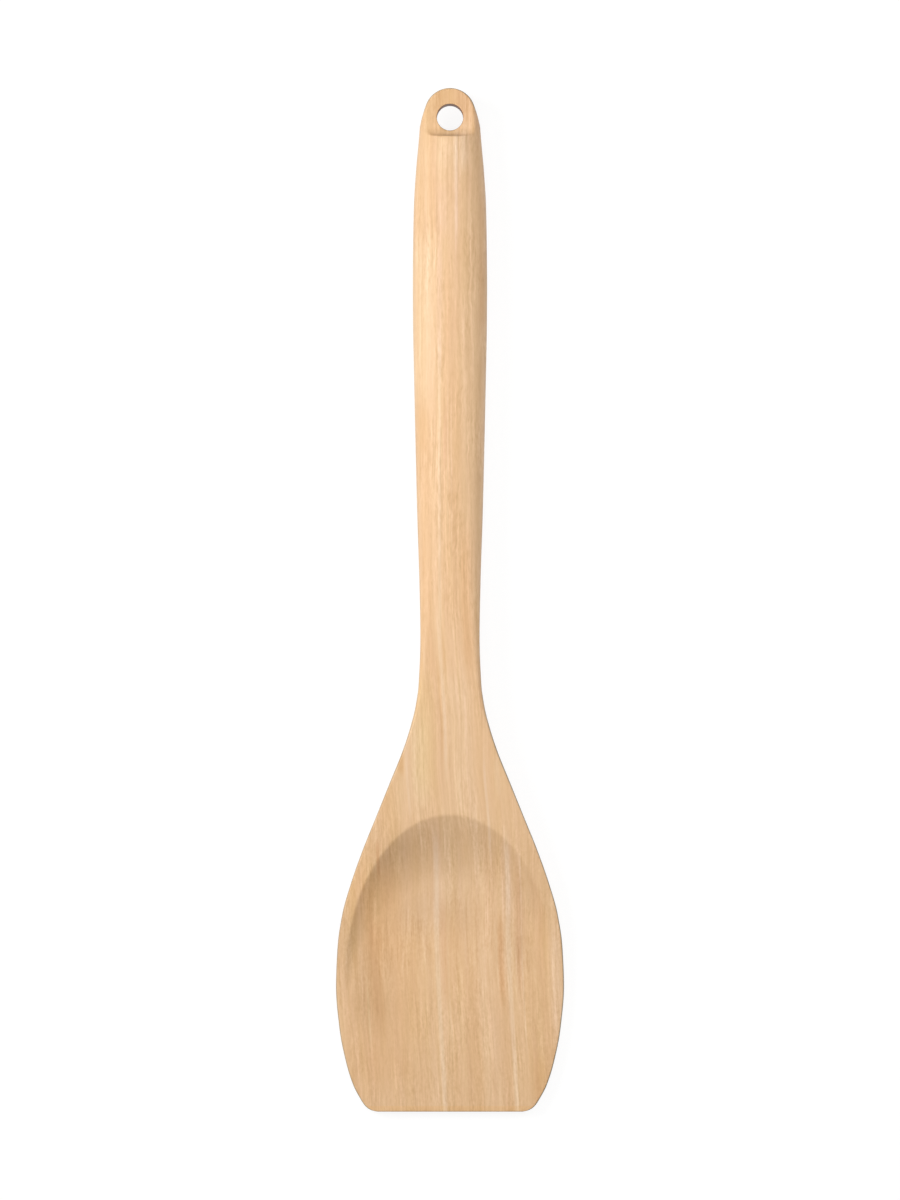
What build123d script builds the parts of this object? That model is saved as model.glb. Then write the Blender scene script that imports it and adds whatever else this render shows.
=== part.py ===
from build123d import *
import math
import os

# A flat-ended cooking spoon carved from one piece of beech, lying on its back with its scoop facing up.
# X runs across the spoon, Y along it with the hanging end at +Y, and Z is up from the surface it lies on.
# Places along the spoon are measured from the middle of the straight tip edge.

# Lengths along the spoon
HEAD_LENGTH = 144.0
HANDLE_LENGTH = 166.0
WIDEST_FROM_TIP = 38.0
RIM_START_FROM_TIP = 30.0
SCOOP_MIDDLE_FROM_TIP = 42.0
SHOULDER_LENGTH = 54.0
BACK_FLAT_FROM_TIP = 45.0
BACK_FLAT_LENGTH = 30.0
BELLY_FROM_END = 60.0

# Widths
TIP_EDGE_WIDTH = 44.8
HEAD_WIDTH = 69.2
NECK_WIDTH = 17.9
HANDLE_WIDTH = 22.5
HANDLE_END_WIDTH = 17.2
RIM_WIDTH = 3.7

# Heights and thicknesses
TIP_THICKNESS = 2.9
TIP_FALL = 0.3
FLOOR_HEIGHT = 4.5
SCOOP_DEPTH = 6.0
NECK_THICKNESS = 11.3
HANDLE_THICKNESS = 16.5
HANDLE_END_THICKNESS = 13.6
BACK_FLAT_DEPTH = 0.3
HANDLE_FLAT_DEPTH = 0.1

# Shape of the scoop
RIM_EDGE_HEIGHT = 1.1
SCOOP_WALL_RUN = 20.8
SCOOP_SIDE_RUN = 5.1
SCOOP_FOOT_SHARE = 0.72
TIP_BEVEL_LENGTH = 1.2
TIP_BEVEL_DEPTH = 0.4

# Flat tab with its hanging hole
TAB_LENGTH = 14.5
TAB_THICKNESS = 8.5
TAB_COVE_RADIUS = 1.3
TAB_ARCH_LENGTH = 20.0
TAB_ARCH_WIDTH = 20.0
TAB_END_RADIUS = 7.7
HANG_HOLE_DIAMETER = 8.0
HANG_HOLE_FROM_END = 8.7
HANG_HOLE_EDGE_BREAK = 0.25

# How far every cutting shape runs past the wood
OVERRUN = 3.0

# Outline: each pair is a share of the way between two places and a share of the change in half width
TIP_OUTLINE_SHARES = ((0, 0), (0.013, 0.134), (0.026, 0.194), (0.053, 0.277), (0.105, 0.399),
                      (0.21, 0.569), (0.395, 0.75), (0.658, 0.911), (1, 1))
SHOULDER_OUTLINE_SHARES = ((0.113, 0.019), (0.208, 0.076), (0.302, 0.186), (0.396, 0.324), (0.49, 0.481),
                           (0.585, 0.639), (0.679, 0.795), (0.745, 0.883), (0.802, 0.942), (0.868, 0.98),
                           (1, 1))
HANDLE_OUTLINE_SHARES = ((0.151, 0.122), (0.34, 0.404), (0.528, 0.622), (0.717, 0.813), (0.906, 0.978), (1, 1))
END_OUTLINE_SHARES = ((0.25, 0.046), (0.417, 0.129), (0.583, 0.357), (0.717, 0.631), (0.833, 0.829), (1, 1))

# Side view: each pair is a share of the way between two places and a share of the change in height
FACE_TO_HANDLE_SHARES = ((0, 0), (0.12, 0.317), (0.2, 0.517), (0.28, 0.683), (0.36, 0.79), (0.5, 0.883),
                         (0.75, 0.967), (1, 1))
TIP_TO_BACK_SHARES = ((0, 0), (0.25, 0.45), (0.55, 0.85), (1, 1))
BACK_TO_NECK_SHARES = ((0, 0), (0.28, 0.3), (0.55, 0.7), (0.8, 0.95), (1, 1))
NECK_TO_BELLY_SHARES = ((0.3, 0.2), (0.65, 0.73), (1, 1))
BELLY_TO_END_SHARES = ((0.4, 0.15), (0.7, 0.5), (1, 1))

# How far the section has turned from flat-faced head to oval handle, along the shoulder
TURN_SHARES = ((0, 0), (0.28, 0.08), (0.5, 0.3), (0.75, 0.7), (1, 1))
# Radius at the side of a section, as a share of its height above or below the widest line
FACE_SIDE_SHARE = 0.9
BACK_SIDE_SHARE = 0.4
OVAL_SIDE_SHARE = 0.88

# Level ovals of the scoop's curved foot, as shares of the way from its floor to where its wall turns straight
SCOOP_LEVEL_SHARES = (0, 0.2, 0.4, 0.6, 0.8, 1)

# Places of the sections along the head and along the handle
HEAD_STATION_SHARES = (0, 0.004, 0.011, 0.022, 0.042, 0.075, 0.12, 0.18, 0.25, 0.33, 0.42, 0.51, 0.6, 0.69,
                       0.77, 0.84, 0.92)
HANDLE_STATION_SHARES = (0, 0.11, 0.24, 0.42, 0.6, 0.76, 0.85, 0.92, 1)

LENGTH = HEAD_LENGTH + HANDLE_LENGTH
ARCH_PLACE = HEAD_LENGTH - SHOULDER_LENGTH
BELLY_PLACE = LENGTH - BELLY_FROM_END
BACK_FLAT_END = BACK_FLAT_FROM_TIP + BACK_FLAT_LENGTH
TIP_HEIGHT = FLOOR_HEIGHT - TIP_FALL
ARCH_HEIGHT = FLOOR_HEIGHT + SCOOP_DEPTH
TAB_MIDDLE_HEIGHT = HANDLE_THICKNESS / 2


def along(place):
    """Y of a place measured from the tip, with the middle of the spoon's length at zero."""
    return place - LENGTH / 2


def follow(points, place):
    """Value at one place of a smooth curve through points, which never swings past a point's own value."""
    places = [point[0] for point in points]
    values = [point[1] for point in points]
    if place <= places[0]:
        return values[0]
    if place >= places[-1]:
        return values[-1]
    steps = [after - before for before, after in zip(places, places[1:])]
    slopes = [(after - before) / step for before, after, step in zip(values, values[1:], steps)]
    turns = [slopes[0]]
    for left, right in zip(slopes, slopes[1:]):
        turns.append(2 * left * right / (left + right) if left * right > 0 else 0)
    turns.append(slopes[-1])
    index = max(i for i, start in enumerate(places[:-1]) if start <= place)
    step = steps[index]
    t = (place - places[index]) / step
    start_part = values[index] * (1 + 2 * t) * (1 - t) ** 2 + turns[index] * step * t * (1 - t) ** 2
    end_part = values[index + 1] * t ** 2 * (3 - 2 * t) + turns[index + 1] * step * t ** 2 * (t - 1)
    return start_part + end_part


def span(shares, start, end, first, last):
    """Points of a curve that changes from first to last between two places."""
    return [(start + part * (end - start), first + change * (last - first)) for part, change in shares]


def half_width(place):
    tip, head, neck = TIP_EDGE_WIDTH / 2, HEAD_WIDTH / 2, NECK_WIDTH / 2
    handle, end = HANDLE_WIDTH / 2, HANDLE_END_WIDTH / 2
    points = (span(TIP_OUTLINE_SHARES, 0, WIDEST_FROM_TIP, tip, head)
              + span(SHOULDER_OUTLINE_SHARES, WIDEST_FROM_TIP, HEAD_LENGTH, head, neck)
              + span(HANDLE_OUTLINE_SHARES, HEAD_LENGTH, BELLY_PLACE, neck, handle)
              + span(END_OUTLINE_SHARES, BELLY_PLACE, LENGTH, handle, end))
    return follow(points, place)


def top_height(place):
    """Crown of the handle, face of the shoulder and rims, and the level part before the tip edge."""
    end_top = TAB_MIDDLE_HEIGHT + HANDLE_END_THICKNESS / 2
    points = ([(0, TIP_HEIGHT), (RIM_START_FROM_TIP, FLOOR_HEIGHT)]
              + span(FACE_TO_HANDLE_SHARES, ARCH_PLACE, BELLY_PLACE, ARCH_HEIGHT, HANDLE_THICKNESS)
              + span(BELLY_TO_END_SHARES, BELLY_PLACE, LENGTH, HANDLE_THICKNESS, end_top))
    return follow(points, place)


def bottom_height(place):
    """Back of the head, hollow under the neck, and belly of the handle."""
    neck_bottom = top_height(HEAD_LENGTH) - NECK_THICKNESS
    end_bottom = TAB_MIDDLE_HEIGHT - HANDLE_END_THICKNESS / 2
    points = (span(TIP_TO_BACK_SHARES, 0, BACK_FLAT_FROM_TIP, TIP_HEIGHT - TIP_THICKNESS, -BACK_FLAT_DEPTH)
              + span(BACK_TO_NECK_SHARES, BACK_FLAT_END, HEAD_LENGTH, -BACK_FLAT_DEPTH, neck_bottom)
              + span(NECK_TO_BELLY_SHARES, HEAD_LENGTH, BELLY_PLACE, neck_bottom, -HANDLE_FLAT_DEPTH)
              + span(BELLY_TO_END_SHARES, BELLY_PLACE, LENGTH, -HANDLE_FLAT_DEPTH, end_bottom))
    return follow(points, place)


def side_and_crown(wide, high, side_radius):
    """Middle of the side arc, meeting point and middle of the crown arc of a quarter section."""
    inset = wide - side_radius
    crown_radius = (inset ** 2 + high ** 2 - side_radius ** 2) / (2 * (high - side_radius))
    lean = math.atan2(crown_radius - high, inset)
    side_middle = (inset + side_radius * math.cos(lean / 2), side_radius * math.sin(lean / 2))
    meeting = (inset + side_radius * math.cos(lean), side_radius * math.sin(lean))
    return side_middle, meeting


def section(place):
    """Closed outline across the spoon: a side, crown and side arc above the widest line, and the same below."""
    wide, top, bottom = half_width(place), top_height(place), bottom_height(place)
    turn = follow(span(TURN_SHARES, ARCH_PLACE, HEAD_LENGTH, 0, 1), place)
    above = RIM_EDGE_HEIGHT + turn * ((top - bottom) / 2 - RIM_EDGE_HEIGHT)
    below = top - bottom - above
    above_radius = above * (FACE_SIDE_SHARE + turn * (OVAL_SIDE_SHARE - FACE_SIDE_SHARE))
    below_radius = below * (BACK_SIDE_SHARE + turn * (OVAL_SIDE_SHARE - BACK_SIDE_SHARE))
    middle = top - above
    y = along(place)
    arcs = []
    for sign, high, radius in ((1, above, above_radius), (-1, below, below_radius)):
        side, meeting = side_and_crown(wide, high, radius)
        for points in (((wide, 0), side, meeting),
                       (meeting, (0, high), (-meeting[0], meeting[1])),
                       ((-meeting[0], meeting[1]), (-side[0], side[1]), (-wide, 0))):
            corners = [(x, y, middle + sign * z) for x, z in points]
            arcs.append(ThreePointArc(*corners[::sign]))
    return Wire(arcs[:3] + arcs[:2:-1])


def blank():
    """Body of the spoon before its scoop, tab and hole are cut."""
    places = [share * HEAD_LENGTH for share in HEAD_STATION_SHARES]
    places += [HEAD_LENGTH + share * HANDLE_LENGTH for share in HANDLE_STATION_SHARES]
    body = Solid.make_loft([section(place) for place in places])
    below = Pos(0, 0, -OVERRUN / 2) * Box(HEAD_WIDTH + OVERRUN, LENGTH + OVERRUN, OVERRUN)
    return body - below


def tip_bevel():
    """Cutting shape of the narrow bevel along the upper edge of the tip."""
    tip = along(0)
    fall = TIP_BEVEL_DEPTH / TIP_BEVEL_LENGTH * OVERRUN
    start, end = tip + TIP_BEVEL_LENGTH + OVERRUN, tip - OVERRUN
    corners = [(0, start, TIP_HEIGHT + fall), (0, end, TIP_HEIGHT - TIP_BEVEL_DEPTH - fall),
               (0, end, TIP_HEIGHT + OVERRUN), (0, start, TIP_HEIGHT + OVERRUN)]
    return extrude(Face(Wire.make_polygon(corners)), amount=HEAD_WIDTH / 2, dir=(1, 0, 0), both=True)


def scoop_rise(reach):
    """Share of the scoop's depth at a share of the way from its floor out to its mouth."""
    steepness = 1 / (1 - SCOOP_FOOT_SHARE / 2)
    if reach < SCOOP_FOOT_SHARE:
        return steepness * reach ** 2 / (2 * SCOOP_FOOT_SHARE)
    return 1 - steepness * (1 - reach)


def scoop_oval(reach):
    """Level oval of the scoop's wall at a share of the way from its floor (0) out to its mouth (1)."""
    middle = RIM_START_FROM_TIP + reach * (SCOOP_MIDDLE_FROM_TIP - RIM_START_FROM_TIP)
    end = ARCH_PLACE - (1 - reach) * SCOOP_WALL_RUN
    half_across = HEAD_WIDTH / 2 - RIM_WIDTH + reach * SCOOP_SIDE_RUN
    height = FLOOR_HEIGHT + scoop_rise(reach) * SCOOP_DEPTH
    return Pos(0, along(middle), height) * Ellipse(half_across, end - middle).face()


def scoop():
    """Cutting shape of the scoop: a level floor whose wall curves up and slants out to the arch and rims."""
    spare = 1 + OVERRUN * (1 - SCOOP_FOOT_SHARE / 2) / SCOOP_DEPTH
    reaches = [share * SCOOP_FOOT_SHARE for share in SCOOP_LEVEL_SHARES] + [1, spare]
    return loft([scoop_oval(reach) for reach in reaches], ruled=True)


def tab_side(sign):
    """Cutting shape that mills one flat of the tab, with a cove where it rises to the handle."""
    start = along(LENGTH - TAB_LENGTH)
    end = along(LENGTH) + OVERRUN
    flat = TAB_MIDDLE_HEIGHT + sign * TAB_THICKNESS / 2
    cove_height = flat + sign * TAB_COVE_RADIUS
    outside = TAB_MIDDLE_HEIGHT + sign * (HANDLE_THICKNESS / 2 + OVERRUN)
    cove_y = start + TAB_COVE_RADIUS
    reach = TAB_COVE_RADIUS * math.sqrt(0.5)
    profile = Wire([
        Line((0, end, flat), (0, cove_y, flat)),
        ThreePointArc((0, cove_y, flat), (0, cove_y - reach, cove_height - sign * reach), (0, start, cove_height)),
        Line((0, start, cove_height), (0, start, outside)),
        Line((0, start, outside), (0, end, outside)),
        Line((0, end, outside), (0, end, flat)),
    ])
    return extrude(Face(profile), amount=HANDLE_WIDTH / 2 + OVERRUN, dir=(1, 0, 0), both=True)


def end_waste():
    """Cutting shape outside the round end of the tab, seen from above."""
    base = along(LENGTH - TAB_ARCH_LENGTH)
    base_half = TAB_ARCH_WIDTH / 2
    rise = TAB_ARCH_LENGTH
    flank_radius = ((2 * TAB_END_RADIUS * rise - base_half ** 2 - rise ** 2)
                    / (2 * (TAB_END_RADIUS - base_half)))
    lean = math.atan2(rise - TAB_END_RADIUS, flank_radius - base_half)
    meeting = (base_half - flank_radius + flank_radius * math.cos(lean), base + flank_radius * math.sin(lean))
    flank = (base_half - flank_radius + flank_radius * math.cos(lean / 2),
             base + flank_radius * math.sin(lean / 2))
    corners = [(-base_half, base), (-base_half - OVERRUN, base), (-base_half - OVERRUN, base + rise + OVERRUN),
               (base_half + OVERRUN, base + rise + OVERRUN), (base_half + OVERRUN, base), (base_half, base)]
    edges = [Line(start, end) for start, end in zip(corners, corners[1:])]
    edges += [ThreePointArc((base_half, base), flank, meeting),
              ThreePointArc(meeting, (0, base + rise), (-meeting[0], meeting[1])),
              ThreePointArc((-meeting[0], meeting[1]), (-flank[0], flank[1]), (-base_half, base))]
    return extrude(Face(Wire(edges)), amount=HANDLE_THICKNESS + OVERRUN, dir=(0, 0, 1))


def hang_hole():
    """Drilled hole through the tab, with both its mouths broken."""
    y = along(LENGTH - HANG_HOLE_FROM_END)
    radius = HANG_HOLE_DIAMETER / 2
    hole = Pos(0, y, TAB_MIDDLE_HEIGHT) * Cylinder(radius, TAB_THICKNESS + 2 * OVERRUN)
    for sign in (1, -1):
        height = TAB_MIDDLE_HEIGHT + sign * (TAB_THICKNESS - HANG_HOLE_EDGE_BREAK) / 2
        ends = (radius, radius + HANG_HOLE_EDGE_BREAK)[::sign]
        hole += Pos(0, y, height) * Cone(ends[0], ends[1], HANG_HOLE_EDGE_BREAK)
    return hole


def spoon():
    body = blank() - scoop() - tip_bevel() - end_waste()
    for sign in (1, -1):
        body -= tab_side(sign)
    return body - hang_hole()


def main():
    os.makedirs("parts", exist_ok=True)
    export_step(spoon(), "parts/beech_spoon.step")


main()
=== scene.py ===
import math

import bmesh
import bpy
import numpy as np
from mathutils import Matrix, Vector


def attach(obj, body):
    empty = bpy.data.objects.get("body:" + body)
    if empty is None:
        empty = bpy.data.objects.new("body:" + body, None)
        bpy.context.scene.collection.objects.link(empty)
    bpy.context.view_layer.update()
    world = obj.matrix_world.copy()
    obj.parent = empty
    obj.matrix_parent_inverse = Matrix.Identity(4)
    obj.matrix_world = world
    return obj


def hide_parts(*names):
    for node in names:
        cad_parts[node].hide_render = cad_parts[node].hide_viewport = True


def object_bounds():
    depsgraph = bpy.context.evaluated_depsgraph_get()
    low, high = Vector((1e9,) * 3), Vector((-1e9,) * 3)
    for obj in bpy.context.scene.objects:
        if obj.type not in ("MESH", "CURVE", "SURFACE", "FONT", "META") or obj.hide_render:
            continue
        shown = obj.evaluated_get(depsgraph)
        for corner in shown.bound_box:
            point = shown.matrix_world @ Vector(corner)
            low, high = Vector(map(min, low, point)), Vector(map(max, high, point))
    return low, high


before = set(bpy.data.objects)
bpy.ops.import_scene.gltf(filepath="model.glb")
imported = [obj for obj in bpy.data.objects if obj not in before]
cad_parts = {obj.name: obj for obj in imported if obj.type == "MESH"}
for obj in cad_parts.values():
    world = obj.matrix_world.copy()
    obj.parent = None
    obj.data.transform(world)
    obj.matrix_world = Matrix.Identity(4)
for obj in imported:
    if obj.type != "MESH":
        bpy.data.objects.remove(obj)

NODE = "beech_spoon"
CAD_BOX = [[float(v) for v in corner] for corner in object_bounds()]

# The spoon's mesh and its grain are worked out in millimetres, and the mesh is scaled to metres at the end.
# Places along the spoon are measured from the middle of the straight tip edge.
MM = 0.001
LENGTH = round((CAD_BOX[1][1] - CAD_BOX[0][1]) / MM, 1)
THICKNESS = round(CAD_BOX[1][2] / MM, 1)

# Places along the spoon
RIM_START_FROM_TIP = 30.0
WIDEST_FROM_TIP = 38.0
SCOOP_MIDDLE_FROM_TIP = 42.0
BACK_FLAT_FROM_TIP = 45.0
BACK_FLAT_END_FROM_TIP = 75.0
ARCH_FROM_TIP = 90.0
SCOOP_END_FROM_TIP = 90.15
SCOOP_CUT_END_FROM_TIP = 100.0
HEAD_LENGTH = 144.0
TURNED_FROM_TIP = 188.0
BELLY_FROM_END = 60.0
BELLY_FROM_TIP = LENGTH - BELLY_FROM_END

# Widths
TIP_EDGE_WIDTH = 44.8
HEAD_WIDTH = 69.2
NECK_WIDTH = 17.9
HANDLE_WIDTH = 22.5
HANDLE_END_WIDTH = 17.2

# Heights and thicknesses
FLOOR_HEIGHT = 4.5
TIP_FALL = 0.3
TIP_HEIGHT = FLOOR_HEIGHT - TIP_FALL
TIP_THICKNESS = 2.9
SCOOP_DEPTH = 6.0
ARCH_HEIGHT = FLOOR_HEIGHT + SCOOP_DEPTH
NECK_THICKNESS = 11.3
HANDLE_END_THICKNESS = 13.6
RIM_EDGE_HEIGHT = 0.6

# Bevel and rounding of the tip edge
TIP_BEVEL_LENGTH = 1.2
TIP_BEVEL_DEPTH = 0.08
TIP_BEVEL_SOFTNESS = 0.04
TIP_ROUNDING = 0.3

# Shape of the scoop. Its level ovals have reach 0 round its floor and reach 1 at the height of the arch
RIM_WIDTH = 3.7
SCOOP_WALL_RUN = 20.8
SCOOP_SIDE_RUN = 5.1
SCOOP_FOOT_SHARE = 0.72
SCOOP_RIM_SOFTNESS = 0.2
SCOOP_LARGEST_REACH = 1.6
REACH_HALVINGS = 30

# Flat tab with its hanging hole
TAB_MIDDLE_HEIGHT = THICKNESS / 2
TAB_LENGTH = 14.63
TAB_THICKNESS = 8.5
TAB_COVE_RADIUS = 2.8
TAB_ARCH_LENGTH = 20.0
TAB_ARCH_WIDTH = 20.0
TAB_END_RADIUS = 7.7
TAB_EDGE_ROUNDING = 0.45
HANG_HOLE_RADIUS = 4.0
HANG_HOLE_FROM_END = 8.82
HANG_HOLE_EDGE_BREAK = 0.12

# Each pair is a share of the way between two places and a share of the change in half width
TIP_OUTLINE_SHARES = ((0, 0), (0.013, 0.134), (0.026, 0.205), (0.053, 0.295), (0.105, 0.399),
                      (0.21, 0.569), (0.395, 0.75), (0.658, 0.911), (1, 1))
SHOULDER_OUTLINE_SHARES = ((0.113, 0.019), (0.208, 0.076), (0.302, 0.186), (0.396, 0.324), (0.49, 0.481),
                           (0.585, 0.639), (0.679, 0.795), (0.745, 0.883), (0.802, 0.942), (0.868, 0.98),
                           (1, 1))
HANDLE_OUTLINE_SHARES = ((0.151, 0.122), (0.34, 0.404), (0.528, 0.622), (0.717, 0.813), (0.906, 0.978),
                         (1, 1))
END_OUTLINE_SHARES = ((0.25, 0.046), (0.417, 0.129), (0.583, 0.357), (0.717, 0.631), (0.833, 0.829),
                      (1, 1))

# Each pair is a share of the way between two places and a share of the change in height
FACE_TO_HANDLE_SHARES = ((0, 0), (0.12, 0.317), (0.2, 0.517), (0.28, 0.683), (0.36, 0.79), (0.5, 0.883),
                         (0.75, 0.967), (1, 1))
TIP_TO_BACK_SHARES = ((0, 0), (0.25, 0.45), (0.55, 0.85), (1, 1))
BACK_TO_NECK_SHARES = ((0, 0), (0.28, 0.3), (0.55, 0.7), (0.8, 0.95), (1, 1))
NECK_TO_BELLY_SHARES = ((0.3, 0.2), (0.65, 0.73), (1, 1))
BELLY_TO_END_SHARES = ((0.4, 0.15), (0.7, 0.5), (1, 1))

# How far the section has turned from flat-faced head to oval handle
TURN_SHARES = ((0, 0), (0.2, 0.05), (0.4, 0.22), (0.6, 0.5), (0.8, 0.82), (1, 1))
# Radius at the side of a section, as a share of its height above or below the widest line
FACE_SIDE_SHARE = 0.9
BACK_SIDE_SHARE = 0.4
OVAL_SIDE_SHARE = 0.88

# Columns of mesh over the side arcs and the crown of a section, and how much closer they stand at the rims
SIDE_COLUMNS = 9
CROWN_COLUMNS = 120
RIM_CROWDING_SHARE = 0.35

# Rows of mesh: over the tip edge, along the head, closer together over the wall under the arch, along the
# neck and handle, at the tab's step, over its cove, and round the end
TIP_EDGE_ROWS = (0, 0.03, 0.1, 0.2, 0.32, 0.45, 0.65, 0.9, 1.15, 1.3, 1.6, 2.0, 2.5, 3.1)
HEAD_ROWS_FROM_TIP = 3.7
HEAD_ROW_STEP = 0.55
WALL_ROWS_BEFORE_ARCH = 12
WALL_ROWS_PAST_ARCH = 4
WALL_ROW_STEP = 0.35
HANDLE_ROWS_GAP = 1
HANDLE_ROWS_BEFORE_STEP = 2
HANDLE_ROW_STEP = 1.1
STEP_ROWS = (-0.9, -0.35, -0.04, 0.02)
COVE_ROW_SHARES = (0.02, 0.07, 0.15, 0.26)
ROUND_END_ROWS = 15

# Square of cells round the hole: half its size, and columns and rows from its middle to the hole's edge
# (inner) and to its own edge (outer)
HOLE_SQUARE = 4.75
HOLE_INNER_COLUMNS = 36
HOLE_OUTER_COLUMNS = 45
HOLE_INNER_ROWS = 8
HOLE_OUTER_ROWS = 10

# Loops of the hole's wall: how much wider than the hole and how far below the tab's flat each loop of its
# broken edge is, and how far below it the straight wall's loops begin, all as shares of the edge break
HOLE_EDGE_SHARES = ((0.35, 0.35), (0, 1.1))
HOLE_WALL_SHARE = 2.5
HOLE_WALL_LOOPS = 7

# Stretch at the tab's step whose edges are sanded, how strongly, and how close two vertices are to be one
SANDED_BEFORE_STEP = 3
SANDED_PAST_STEP = 2
SANDING_SHARE = 0.5
SAME_POINT = 0.001 * MM
TINY = 1e-9


def follow(points, places):
    """Values at places of a smooth curve through points, which never swings past a point's own value."""
    x = np.array([point[0] for point in points], float)
    y = np.array([point[1] for point in points], float)
    steps = np.diff(x)
    slopes = np.diff(y) / steps
    before, after = slopes[:-1], slopes[1:]
    same_way = before * after > 0
    inner_turns = np.where(same_way, 2 * before * after / np.where(same_way, before + after, 1), 0)
    turns = np.concatenate([slopes[:1], inner_turns, slopes[-1:]])
    places = np.clip(np.asarray(places, float), x[0], x[-1])
    index = np.clip(np.searchsorted(x, places, side="right") - 1, 0, len(steps) - 1)
    t = (places - x[index]) / steps[index]
    start_part = y[index] * (1 + 2 * t) * (1 - t) ** 2 + turns[index] * steps[index] * t * (1 - t) ** 2
    end_part = y[index + 1] * t ** 2 * (3 - 2 * t) + turns[index + 1] * steps[index] * t ** 2 * (t - 1)
    return start_part + end_part


def span(shares, start, end, first, last):
    """Points of a curve that changes from first to last between two places."""
    return [(start + part * (end - start), first + change * (last - first)) for part, change in shares]


def half_width(places):
    """Half the spoon's width, before its end is cut round."""
    tip, head, neck = TIP_EDGE_WIDTH / 2, HEAD_WIDTH / 2, NECK_WIDTH / 2
    handle, end = HANDLE_WIDTH / 2, HANDLE_END_WIDTH / 2
    return follow(span(TIP_OUTLINE_SHARES, 0, WIDEST_FROM_TIP, tip, head)
                  + span(SHOULDER_OUTLINE_SHARES, WIDEST_FROM_TIP, HEAD_LENGTH, head, neck)
                  + span(HANDLE_OUTLINE_SHARES, HEAD_LENGTH, BELLY_FROM_TIP, neck, handle)
                  + span(END_OUTLINE_SHARES, BELLY_FROM_TIP, LENGTH, handle, end), places)


def top_height(places):
    """Crown of the handle, face of the shoulder and rims, and the level part before the tip edge."""
    end_top = TAB_MIDDLE_HEIGHT + HANDLE_END_THICKNESS / 2
    return follow([(0, TIP_HEIGHT), (RIM_START_FROM_TIP, FLOOR_HEIGHT)]
                  + span(FACE_TO_HANDLE_SHARES, ARCH_FROM_TIP, BELLY_FROM_TIP, ARCH_HEIGHT, THICKNESS)
                  + span(BELLY_TO_END_SHARES, BELLY_FROM_TIP, LENGTH, THICKNESS, end_top), places)


def bottom_height(places):
    """Back of the head, hollow under the neck, and belly of the handle."""
    neck_bottom = float(top_height(HEAD_LENGTH)) - NECK_THICKNESS
    end_bottom = TAB_MIDDLE_HEIGHT - HANDLE_END_THICKNESS / 2
    return follow(span(TIP_TO_BACK_SHARES, 0, BACK_FLAT_FROM_TIP, TIP_HEIGHT - TIP_THICKNESS, 0)
                  + span(BACK_TO_NECK_SHARES, BACK_FLAT_END_FROM_TIP, HEAD_LENGTH, 0, neck_bottom)
                  + span(NECK_TO_BELLY_SHARES, HEAD_LENGTH, BELLY_FROM_TIP, neck_bottom, 0)
                  + span(BELLY_TO_END_SHARES, BELLY_FROM_TIP, LENGTH, 0, end_bottom), places)


def end_arch(places):
    """Half width of the tab's round end seen from above, or the head's width where it cuts nothing."""
    base = LENGTH - TAB_ARCH_LENGTH
    half = TAB_ARCH_WIDTH / 2
    flank = ((2 * TAB_END_RADIUS * TAB_ARCH_LENGTH - half ** 2 - TAB_ARCH_LENGTH ** 2)
             / (2 * (TAB_END_RADIUS - half)))
    lean = math.atan2(TAB_ARCH_LENGTH - TAB_END_RADIUS, flank - half)
    past = np.maximum(np.asarray(places, float) - base, 0)
    flank_half = half - flank + np.sqrt(np.maximum(flank ** 2 - past ** 2, 0))
    from_crown_middle = past - (TAB_ARCH_LENGTH - TAB_END_RADIUS)
    crown_half = np.sqrt(np.maximum(TAB_END_RADIUS ** 2 - from_crown_middle ** 2, 0))
    arch = np.where(past < flank * math.sin(lean), flank_half, crown_half)
    return np.where(past > 0, arch, HEAD_WIDTH)


def soft_min(first, second, softness):
    """The lower of two heights, rounded where they meet."""
    overlap = np.maximum(softness - np.abs(first - second), 0)
    return np.minimum(first, second) - overlap ** 2 / (4 * softness)


def turned(places):
    """0 where the section is the flat-faced head, 1 where it is the oval handle."""
    return follow(span(TURN_SHARES, ARCH_FROM_TIP, TURNED_FROM_TIP, 0, 1), places)


def section_halves(places):
    """Half width and height of each section's widest line, then what its upper and its lower half measure:
    height, radius of the side, radius of the crown and the angle where they meet.
    """
    wide, top, bottom, turn = half_width(places), top_height(places), bottom_height(places), turned(places)
    above = RIM_EDGE_HEIGHT + turn * ((top - bottom) / 2 - RIM_EDGE_HEIGHT)
    below = top - bottom - above
    halves = []
    for high, head_share in ((above, FACE_SIDE_SHARE), (below, BACK_SIDE_SHARE)):
        side = high * (head_share + turn * (OVAL_SIDE_SHARE - head_share))
        inset = wide - side
        crown = (inset ** 2 + high ** 2 - side ** 2) / (2 * (high - side))
        halves.append((high, side, crown, np.arctan2(crown - high, inset)))
    return wide, top - above, halves


def scoop_height(x, places):
    """Height of the scoop's surface, from the level oval that passes through each point seen from above."""
    low, high = np.zeros(np.shape(x)), np.full(np.shape(x), SCOOP_LARGEST_REACH)
    for _ in range(REACH_HALVINGS):
        reach = (low + high) / 2
        middle = RIM_START_FROM_TIP + reach * (SCOOP_MIDDLE_FROM_TIP - RIM_START_FROM_TIP)
        half_long = SCOOP_END_FROM_TIP - (1 - reach) * SCOOP_WALL_RUN - middle
        half_across = HEAD_WIDTH / 2 - RIM_WIDTH + reach * SCOOP_SIDE_RUN
        outside = (x / half_across) ** 2 + ((places - middle) / half_long) ** 2 > 1
        low, high = np.where(outside, reach, low), np.where(outside, high, reach)
    steepness = 1 / (1 - SCOOP_FOOT_SHARE / 2)
    curved = steepness * reach ** 2 / (2 * SCOOP_FOOT_SHARE)
    rise = np.where(reach < SCOOP_FOOT_SHARE, curved, 1 - steepness * (1 - reach))
    return FLOOR_HEIGHT + SCOOP_DEPTH * rise


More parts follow.
